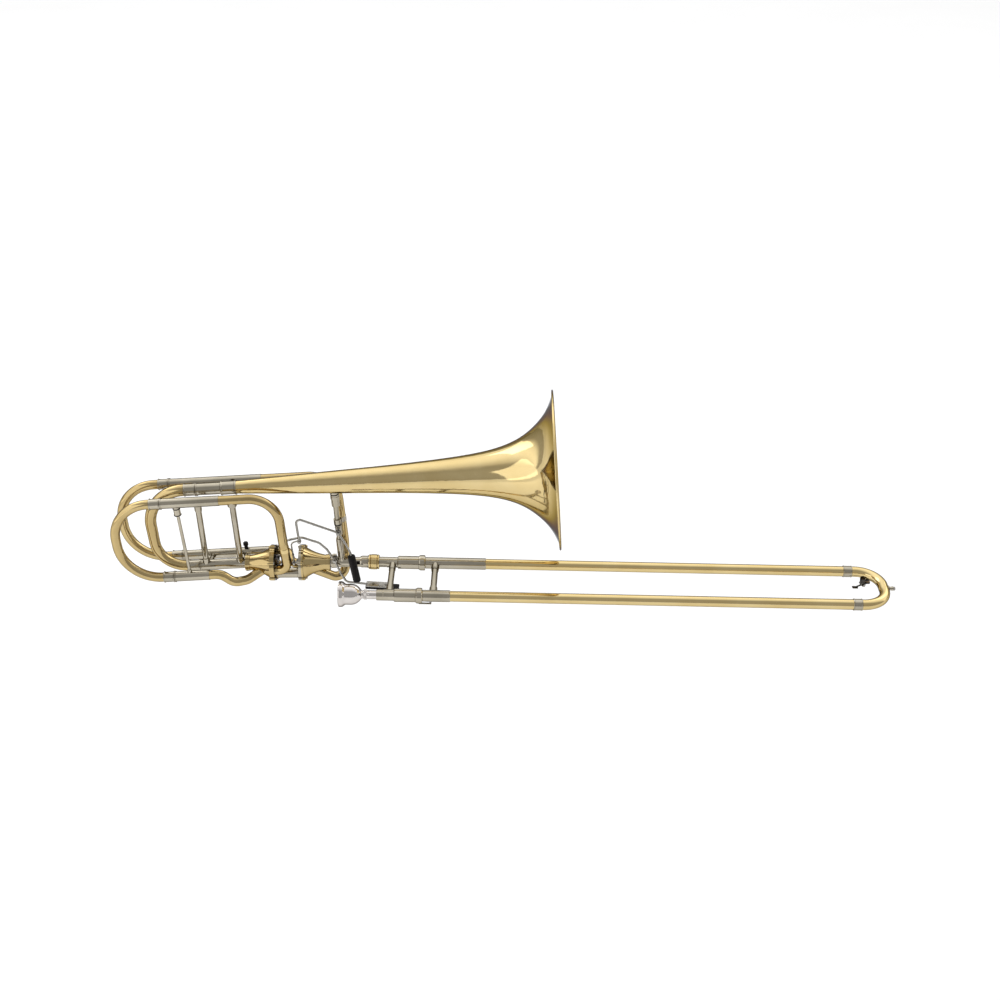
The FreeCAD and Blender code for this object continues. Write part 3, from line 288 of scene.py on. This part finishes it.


def polished(name, pale, deep, smooth, dull, coat=0.0, lines=None, turn=(0.0, 0.0, 0.0)):
    """A plated or lacquered metal: faint cloudiness, smudges, and the marks of its making."""
    paint = Paint(name, Metallic=1.0, Coat_Weight=coat, Coat_Roughness=0.04,
                  Specular_Tint=edge_shade_tint)
    middle = tuple((a + b) / 2 for a, b in zip(pale, deep))
    clouds = paint.noise(16.0, 4.0, distortion=0.6)
    paint.colour(clouds, [(0.34, deep), (0.5, middle), (0.66, pale)])
    smudges = paint.ranged(paint.noise(70.0, 5.0, distortion=1.2), smooth, dull, 0.42, 0.80)
    fine = paint.noise(1.0, 2.0, paint.stretched(lines, turn)) if lines else paint.noise(800.0, 2.0)
    paint.roughness(paint.mixed(smudges, paint.ranged(fine, 0.0, dull * 0.3)))
    waves = paint.noise(60.0, 2.0)
    surface = paint.mixed(waves, paint.ranged(fine, 0.0, 0.10, 0.0, 1.0))
    paint.bump(surface, 0.000015, 0.5)
    return paint.material


along_tubes = (6.0, 1300.0, 1300.0)     # fine lines along X, left by drawing
round_bell = (1100.0, 8.0, 8.0)         # fine lines round X, left by spinning
bell_pitch = math.asin(bell_frame.col[0].z)


def brass(name, lines=None, turn=(0.0, 0.0, 0.0)):
    """Clear-lacquered yellow brass."""
    return polished(name, (0.700, 0.552, 0.275), (0.645, 0.492, 0.225), 0.055, 0.12, 0.2,
                    lines, turn)


def shaded_brass(name):
    """The loops' and casings' brass, darker than the bell's: painted shade for the dimmer light on the
    instrument's left.
    """
    return polished(name, (0.550, 0.420, 0.200), (0.440, 0.324, 0.142), 0.06, 0.14, 0.2)


def nickel(name, lines=None):
    """Lacquered nickel silver, a warm grey."""
    return polished(name, (0.470, 0.428, 0.342), (0.375, 0.338, 0.262), 0.06, 0.13, 0.15, lines)


def black_plastic():
    """Satin black with a fine moulded grain."""
    paint = Paint("satin_black", Specular_IOR_Level=0.16)
    paint.colour(paint.noise(160.0, 5.0), [(0.35, (0.003, 0.002, 0.002)),
                                           (0.7, (0.008, 0.006, 0.006))])
    paint.roughness(paint.ranged(paint.noise(260.0, 4.0), 0.42, 0.62))
    paint.bump(paint.noise(2400.0, 3.0), 0.00004, 0.6)
    return paint.material


def rubber(name, dark, light):
    """Matt rubber, mottled between two shades."""
    paint = Paint(name, Specular_IOR_Level=0.3)
    paint.colour(paint.noise(420.0, 5.0), [(0.3, dark), (0.75, light)])
    paint.roughness(paint.ranged(paint.noise(600.0, 3.0), 0.62, 0.85))
    paint.bump(paint.noise(3200.0, 4.0), 0.00006, 0.8)
    return paint.material


def cork():
    """Cut cork: pale grains with dark specks between them."""
    paint = Paint("cut_cork", Specular_IOR_Level=0.2)
    specks = paint.ranged(paint.cells(1500.0), 0.35, 0.0, 0.0, 0.5)
    grain = paint.mixed(paint.noise(900.0, 6.0), specks)
    paint.colour(grain, [(0.3, (0.50, 0.33, 0.18)), (0.6, (0.62, 0.44, 0.27)),
                         (0.95, (0.22, 0.12, 0.06))])
    paint.roughness(paint.ranged(grain, 0.75, 0.95))
    paint.bump(grain, 0.00015, 0.8)
    return paint.material


def felt():
    """Pressed brown felt with matted fibres."""
    paint = Paint("pressed_felt", Specular_IOR_Level=0.15, Sheen_Weight=0.6)
    fibres = paint.noise(1400.0, 6.0, distortion=2.5)
    paint.colour(fibres, [(0.3, (0.16, 0.13, 0.11)), (0.7, (0.36, 0.31, 0.27))])
    paint.roughness(paint.ranged(fibres, 0.85, 1.0))
    paint.bump(fibres, 0.00025, 0.9)
    return paint.material


finishes = {
    "lacquered_brass": brass("lacquered_brass"),
    "raw_brass": polished("machined_brass", (0.66, 0.49, 0.25), (0.55, 0.39, 0.18), 0.20, 0.36),
    "nickel_silver": nickel("nickel_silver"),
    "chrome_plate": polished("hard_chrome", (0.70, 0.71, 0.73), (0.64, 0.65, 0.67), 0.04, 0.10),
    "silver_plate": polished("silver_plate", (0.71, 0.67, 0.64), (0.61, 0.575, 0.55), 0.07, 0.15),
    "black_nickel": polished("black_nickel", (0.075, 0.068, 0.060), (0.040, 0.036, 0.031), 0.20, 0.36),
    "steel": polished("steel_wire", (0.40, 0.385, 0.355), (0.31, 0.30, 0.275), 0.16, 0.32),
    "black_plastic": black_plastic(),
    "black_rubber": rubber("black_rubber", (0.018, 0.018, 0.018), (0.045, 0.043, 0.042)),
    "pale_rubber": rubber("pale_rubber", (0.34, 0.32, 0.295), (0.46, 0.44, 0.41)),
    "cork": cork(),
    "felt": felt(),
}

# Nodes that look different from the rest of their slot: drawn tubes and the spun bell carry
# marks in one direction, and the bent tubes and valve casings get a darker brass, which is painted
# shade for the dimmer light on the instrument's left.
drawn_brass = brass("drawn_brass", along_tubes)
drawn_nickel = nickel("drawn_nickel", along_tubes)
spun_brass = brass("spun_brass", round_bell, (0.0, bell_pitch, 0.0))
shaded_loop_brass = shaded_brass("shaded_loop_brass")
nodes_made_as = (
    (spun_brass, ("bell", "bell_rim_wire")),
    (drawn_brass, ("outer_slide_tubes",)),
    (drawn_nickel, ("outer_sleeves", "cork_barrels", "main_sleeves", "f_sleeves", "gflat_sleeves",
                    "neckpipe", "slide_tenon", "valve_connecting_tube")),
    (shaded_loop_brass, ("f_tuning_bow", "gflat_tuning_bow", "main_tuning_bow", "f_gooseneck",
                  "gflat_gooseneck", "f_return_tube", "gflat_return_tube", "f_valve_casing",
                  "gflat_valve_casing", "gflat_valve_back_plate")),
)
own_finish = {node: finish for finish, names in nodes_made_as for node in names}


def dress_cad_nodes():
    """Every node keeps its CAD shape, and gets its own finish or else its slot's."""
    for part in record["subparts"]:
        finish = own_finish.get(part["node"], finishes[part["material_slot"]])
        materials = frame["nodes"][part["node"]].data.materials
        for index in range(len(materials)):
            materials[index] = finish
        if not materials:
            materials.append(finish)


# ---- building blocks for the small pieces, in metres ---------------------------------
def lathe(mesh, outline, place, steps=48, teeth=0, depth=0.0):
    """Turns a closed outline of (distance, radius) about a frame's X axis; teeth knurl it."""
    rings = []
    for step in range(steps):
        turn = math.tau * step / steps
        cut = depth * (0.5 - 0.5 * math.cos(turn * teeth))
        rings.append([mesh.verts.new(place @ Vector((x, (r - cut) * math.cos(turn),
                                                     (r - cut) * math.sin(turn))))
                      for x, r in outline])
    count = len(outline)
    for near, far in zip(rings, rings[1:] + rings[:1]):
        for index in range(count):
            after = (index + 1) % count
            mesh.faces.new((near[index], near[after], far[after], far[index]))
    bmesh.ops.remove_doubles(mesh, verts=mesh.verts, dist=1e-7)


def prism(mesh, corners, low, high, place):
    """A prism along a frame's X axis from (y, z) corners."""
    ends = [[mesh.verts.new(place @ Vector((x, y, z))) for y, z in corners] for x in (low, high)]
    mesh.faces.new(ends[0])
    mesh.faces.new(ends[1][::-1])
    for index in range(len(corners)):
        after = (index + 1) % len(corners)
        mesh.faces.new((ends[0][index], ends[1][index], ends[1][after], ends[0][after]))


def screw_head(mesh, place, radius, height, slot_angle=0.0):
    """A cheese head: a low disc whose upper half is parted by a screwdriver's slot."""
    slot_share = 0.17               # the slot's width, as a share of the head's
    middle = height * 0.45
    lathe(mesh, [(0.0, 0.0), (0.0, radius), (middle, radius), (middle, 0.0)], place, 32)
    start = math.asin(slot_share)
    arc_steps = 12
    turned = place @ Matrix.Rotation(slot_angle, 4, "X")
    for side in (1, -1):
        sweep = [start + (math.pi - 2 * start) * step / arc_steps for step in range(arc_steps + 1)]
        corners = [(radius * math.cos(a), side * radius * math.sin(a)) for a in sweep]
        prism(mesh, corners[::side], middle, height, turned)


def hex_nut(mesh, place, across, height):
    """A hexagonal nut with a chamfered top."""
    corner = across / math.sqrt(3)
    shoulder = height * 0.8
    hexagon = [(corner * math.cos(math.tau * step / 6), corner * math.sin(math.tau * step / 6))
               for step in range(6)]
    prism(mesh, hexagon, 0.0, shoulder, place)
    lathe(mesh, [(shoulder, 0.0), (shoulder, across * 0.5), (height, across * 0.42),
                 (height, 0.0)], place, 24)


def wire(mesh, points, radius, steps=10):
    """A round wire through points, closed at both ends."""
    directions = [(b - a).normalized() for a, b in zip(points, points[1:])]
    directions.append(directions[-1])
    side = directions[0].orthogonal().normalized()
    rings = []
    for point, direction in zip(points, directions):
        side = (side - direction * side.dot(direction)).normalized()
        other = direction.cross(side)
        rings.append([mesh.verts.new(point + (side * math.cos(math.tau * step / steps)
                                              + other * math.sin(math.tau * step / steps)) * radius)
                      for step in range(steps)])
    for near, far in zip(rings, rings[1:]):
        for index in range(steps):
            after = (index + 1) % steps
            mesh.faces.new((near[index], near[after], far[after], far[index]))
    mesh.faces.new(rings[0][::-1])
    mesh.faces.new(rings[-1])


def torsion_spring(mesh, place, radius, gauge, start, end, turns, first_leg, last_leg, leg):
    """A coil about a frame's Y axis, whose straight ends leave in two directions (x, z)."""
    begin = math.atan2(first_leg[0], -first_leg[1])
    finish = math.atan2(-last_leg[0], last_leg[1])
    sweep = (finish - begin) % math.tau + math.tau * turns
    steps_per_turn = 20
    steps = int(steps_per_turn * sweep / math.tau)
    coil = []
    for step in range(steps + 1):
        share = step / steps
        turn = begin + sweep * share
        coil.append(Vector((radius * math.cos(turn), start + (end - start) * share,
                            radius * math.sin(turn))))
    first = coil[0] + Vector((first_leg[0], 0.0, first_leg[1])) * leg
    last = coil[-1] + Vector((last_leg[0], 0.0, last_leg[1])) * leg
    wire(mesh, [place @ point for point in [first] + coil + [last]], gauge)


def piece(name, mesh, body, slot, bevel=0.0):
    """Links a finished mesh, in the row frame, as a piece that rides on a body."""
    data = bpy.data.meshes.new(name)
    bmesh.ops.recalc_face_normals(mesh, faces=mesh.faces)
    mesh.to_mesh(data)
    mesh.free()
    data.shade_smooth()
    data.set_sharp_from_angle(angle=math.radians(40.0))
    made = bpy.data.objects.new(name, data)
    bpy.context.scene.collection.objects.link(made)
    data.materials.append(finishes[slot])
    if bevel:
        rounded = made.modifiers.new("rounded", "BEVEL")
        rounded.width = bevel
        rounded.segments = 2
        rounded.limit_method = "ANGLE"
        rounded.harden_normals = True
    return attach(made, body)


def ring(mesh, place, outer, inner, length):
    """A rounded band about a frame's X axis, centred on its origin."""
    half = length / 2
    edge = min(half, outer - inner) * 0.45
    lathe(mesh, [(-half, inner), (-half, outer - edge), (edge - half, outer), (half - edge, outer),
                 (half, outer - edge), (half, inner)], place, 64)


# ---- small pieces, with their places in the bell section's frame in millimetres ------
main_top = 150.0                # the main tube's height, on the bell's axis
f_side = 37.2                   # the F loop stands this far to the far side of the bell
gflat_side = -30.0              # and the G flat loop this far to the near side


def round_axis(place, distance, radius, degrees):
    """A frame parallel to a valve's axis, at a distance along it and a place round it."""
    turn = math.radians(degrees)
    offset = Vector((distance * mm, radius * mm * math.cos(turn), radius * mm * math.sin(turn)))
    return place @ Matrix.Translation(offset)


def valve_fittings(name):
    """Lug screws and nuts that clamp the back plate, and the spindle's end screw."""
    place = valve_frame(name)
    lugs = 6
    lug_radius = 27.9
    screw_seat = 47.0               # seats along the axis, from the valve's narrow end
    nut_seat = 40.0
    spindle_end = 54.6
    screws = bmesh.new()
    nuts = bmesh.new()
    for index in range(lugs):
        degrees = 30.0 + 360.0 / lugs * index
        forwards = round_axis(place, screw_seat, lug_radius, degrees)
        screw_head(screws, forwards, 2.1 * mm, 1.5 * mm, index * 0.7)
        backwards = round_axis(place, nut_seat, lug_radius, degrees) @ Matrix.Rotation(math.pi, 4, "Z")
        hex_nut(nuts, backwards, 4.2 * mm, 2.0 * mm)
    piece(name + "_lug_screws", screws, "bell_section", "nickel_silver", 0.12 * mm)
    piece(name + "_lug_nuts", nuts, "bell_section", "lacquered_brass", 0.12 * mm)
    spindle = bmesh.new()
    screw_head(spindle, round_axis(place, spindle_end, 0.0, 0.0), 2.2 * mm, 1.2 * mm, 0.5)
    piece(name + "_spindle_screw", spindle, name + "_rotor", "steel", 0.1 * mm)


def mouthpiece_knurl():
    """The knurled band at the throat, where fingers turn the mouthpiece."""
    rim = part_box("mouthpiece")[0]
    rim_to_band = 40.4 * mm
    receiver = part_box("mouthpiece_receiver")
    axis_height = (receiver[0].z + receiver[1].z) / 2
    axis_side = (receiver[0].y + receiver[1].y) / 2
    place = Matrix.Translation((rim.x + rim_to_band, axis_side, axis_height))
    teeth = 40
    tooth_depth = 0.30 * mm
    steps_per_tooth = 8
    band = bmesh.new()
    outline = [(-2.3 * mm, 6.9 * mm), (-2.3 * mm, 7.5 * mm), (-1.9 * mm, 7.85 * mm),
               (1.9 * mm, 7.85 * mm), (2.3 * mm, 7.5 * mm), (2.3 * mm, 6.9 * mm)]
    lathe(band, outline, place, teeth * steps_per_tooth, teeth, tooth_depth)
    piece("mouthpiece_knurl", band, "mouthpiece", "silver_plate")


def thumb_grip():
    """A ribbed black sleeve with rounded ends, in place of the plain one."""
    top = in_bell(-67.0, -34.0, 38.5)
    low = in_bell(-63.0, -34.0, -8.5)
    length = (top - low).length
    place = frame_along(low, top - low)
    radius = 6.0 * mm
    rounding = 1.8 * mm
    ribs = 22
    groove = 0.28 * mm
    arc_steps = 6
    samples_per_rib = 8
    outline = [(0.0, 0.0), (0.0, radius - rounding)]
    for step in range(1, arc_steps + 1):
        turn = math.pi / 2 * step / arc_steps
        outline.append((rounding * (1 - math.cos(turn)), radius - rounding * (1 - math.sin(turn))))
    samples = ribs * samples_per_rib
    for step in range(1, samples):
        share = step / samples
        dip = groove * (0.5 - 0.5 * math.cos(math.tau * ribs * share))
        outline.append((rounding + (length - 2 * rounding) * share, radius - dip))
    mirrored = [(length - x, r) for x, r in outline[1:arc_steps + 2]][::-1]
    outline += mirrored + [(length, 0.0)]
    sleeve = bmesh.new()
    lathe(sleeve, outline, place, 48)
    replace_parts(piece("thumb_grip_sleeve", sleeve, "thumb_lever", "black_plastic"), "thumb_grip")


def paddle_screws():
    """Two screws that hold the finger's pad to its plate."""
    heads = bmesh.new()
    left = in_bell(-50.0, -20.0, -24.0)
    right = in_bell(-9.0, -20.0, -29.2)
    plate_thickness = 1.0 * mm
    run = (right - left).normalized()
    up = run.cross(Vector((0.0, 1.0, 0.0)))
    for share, angle in ((0.22, 0.4), (0.70, 1.3)):
        seat = left.lerp(right, share) + up * plate_thickness
        screw_head(heads, frame_along(seat, up), 2.3 * mm, 1.1 * mm, angle)
    piece("paddle_screws", heads, "finger_lever", "steel", 0.1 * mm)


def lever_springs():
    """A torsion spring on each lever's hinge, one leg on the brace and one on the lever."""
    coils = bmesh.new()
    legs = {"thumb_lever_press": ((0.10, 0.995), (-0.887, 0.461)),
            "finger_lever_press": ((-0.20, -0.980), (-0.484, 0.875))}
    for name, (first_leg, last_leg) in legs.items():
        place = Matrix.Translation(Vector(joints[name]["pos_m"]))
        torsion_spring(coils, place, radius=3.75 * mm, gauge=0.3 * mm, start=1.5 * mm,
                       end=3.8 * mm, turns=3, first_leg=first_leg, last_leg=last_leg, leg=9.0 * mm)
    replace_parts(piece("lever_coil_springs", coils, "bell_section", "steel"), "lever_springs")


def water_key_springs():
    """Two small coils on the water key's hinge, with legs on the bow and on the lever."""
    coils = bmesh.new()
    hinge = joints["water_key_press"]
    across = Vector(hinge["axis"])
    place = frame_along(Vector(hinge["pos_m"]), across.cross(Vector((0.0, 0.0, 1.0))), across)
    for side in (-1, 1):
        torsion_spring(coils, place, radius=2.85 * mm, gauge=0.22 * mm, start=side * 1.9 * mm,
                       end=side * 2.9 * mm, turns=2, first_leg=(0.30, 0.954),
                       last_leg=(-0.95, -0.312), leg=4.0 * mm)
    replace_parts(piece("water_key_coils", coils, "outer_slide", "steel"), "water_key_spring")


def brace_washers():
    """Black rings on the bell brace and on the first strut's cup."""
    black = bmesh.new()
    for x, height, radius, length in ((-85.0, 129.6, 6.7, 2.6), (-86.0, 76.0, 6.1, 3.0)):
        ring(black, standing_in_bell(x, 0.0, height), radius * mm, 3.5 * mm, length * mm)
    for height in (136.2, 125.2):
        ring(black, standing_in_bell(-319.9, gflat_side, height), 5.8 * mm, 2.4 * mm, 1.6 * mm)
    piece("brace_washers", black, "bell_section", "black_plastic")


def return_tube_collar():
    """The collar where the F loop's return tube is joined, beside the bell brace."""
    collar = bmesh.new()
    ring(collar, standing_in_bell(-86.0, f_side, 64.0), 7.9 * mm, 7.2 * mm, 9.0 * mm)
    piece("return_tube_collar", collar, "bell_section", "nickel_silver")


def gooseneck_band():
    """The band round the upright run of the G flat gooseneck."""
    band = bmesh.new()
    along = in_bell(-170.4, -16.6, 6.5) - in_bell(-168.5, gflat_side, 62.0)
    ring(band, frame_along(in_bell(-168.8, -27.8, 53.0), along), 7.8 * mm, 7.2 * mm, 8.0 * mm)
    piece("gooseneck_band", band, "bell_section", "lacquered_brass")


def tuning_slide_beads():
    """Beads at both ends of the tuning slides' ferrules and at the sleeves' mouths."""
    # For each tube: where the ferrule and the sleeve start, side, height and sleeve radius.
    tubes_of = {"main": ((-311.6, -293.0, 0.0, main_top, 9.4), (-326.0, -308.0, 0.0, 13.9, 8.5)),
                "f": ((-360.0, -343.0, f_side, 140.8, 8.0), (-360.0, -343.0, f_side, 9.8, 8.0)),
                "gflat": ((-360.0, -343.0, gflat_side, 145.5, 8.0),
                          (-360.0, -343.0, gflat_side, 14.5, 8.0))}
    inset = 1.0
    gap_side_inset = 1.3            # keeps the ferrule's bead clear of the sleeve's
    width = 1.7
    for name, tubes in tubes_of.items():
        moving = bmesh.new()
        fixed = bmesh.new()
        for ferrule_start, sleeve_start, side, height, radius in tubes:
            spots = ((moving, ferrule_start + inset), (moving, sleeve_start - gap_side_inset),
                     (fixed, sleeve_start + inset))
            for mesh, x in spots:
                ring(mesh, lying_in_bell(x, side, height), (radius + 0.9) * mm, (radius - 0.3) * mm,
                     width * mm)
        piece(name + "_ferrule_beads", moving, name + "_tuning_slide", "nickel_silver")
        piece(name + "_sleeve_beads", fixed, "bell_section", "nickel_silver")


def bell_ferrule_beads():
    """A bead at each end of the bell's ferrule."""
    beads = bmesh.new()
    for x in (-253.8, -232.2):
        ring(beads, lying_in_bell(x, 0.0, main_top), 11.3 * mm, 10.2 * mm, 1.8 * mm)
    piece("bell_ferrule_beads", beads, "bell_section", "nickel_silver")


def sleeve_knob():
    """The small black knob that stands on the F slide's lower sleeve."""
    knob = bmesh.new()
    outline = [(0.0, 0.0), (0.0, 3.0), (5.0, 2.8), (6.0, 4.0), (10.2, 4.0), (11.5, 2.6), (11.5, 0.0)]
    lathe(knob, [(x * mm, r * mm) for x, r in outline], standing_in_bell(-242.0, f_side, 17.0))
    piece("sleeve_knob", knob, "bell_section", "black_plastic")


def link_nuts():
    """A lock nut on each link rod's last straight run, where its length is set."""
    links = {"f": (in_bell(-160.5, -10.0, 52.0), -1), "gflat": (in_bell(-180.0, 15.9, 40.0), 1)}
    arm_reach = 11.0                # the stop arm's, and its place along the valve's axis
    arm_plane = 55.2
    ring_to_foot = 3.7              # from the middle of the rod's ring to the rod's end
    share_down = 0.62
    half_turn = math.radians(32.5)
    for name, (top, side) in links.items():
        mean_side = side * arm_reach * (1 + math.cos(half_turn)) / 2
        place = valve_frame(name)
        height = arm_reach * math.sin(half_turn) + ring_to_foot
        foot = place.translation + place.col[0].xyz * arm_plane * mm
        foot += Vector((0.0, mean_side * mm, 0.0)) + place.col[2].xyz.normalized() * height * mm
        run = foot - top
        nut = bmesh.new()
        hex_nut(nut, frame_along(top.lerp(foot, share_down), run), 3.6 * mm, 2.6 * mm)
        piece(name + "_link_nut", nut, name + "_link", "steel", 0.1 * mm)


camera()
studio_world()
lights()
pale_floor()
dress_cad_nodes()
for valve_name in ("f", "gflat"):
    valve_fittings(valve_name)
mouthpiece_knurl()
thumb_grip()
paddle_screws()
lever_springs()
water_key_springs()
brace_washers()
return_tube_collar()
gooseneck_band()
tuning_slide_beads()
bell_ferrule_beads()
sleeve_knob()
link_nuts()

bpy.context.scene.view_settings.view_transform = "Standard"
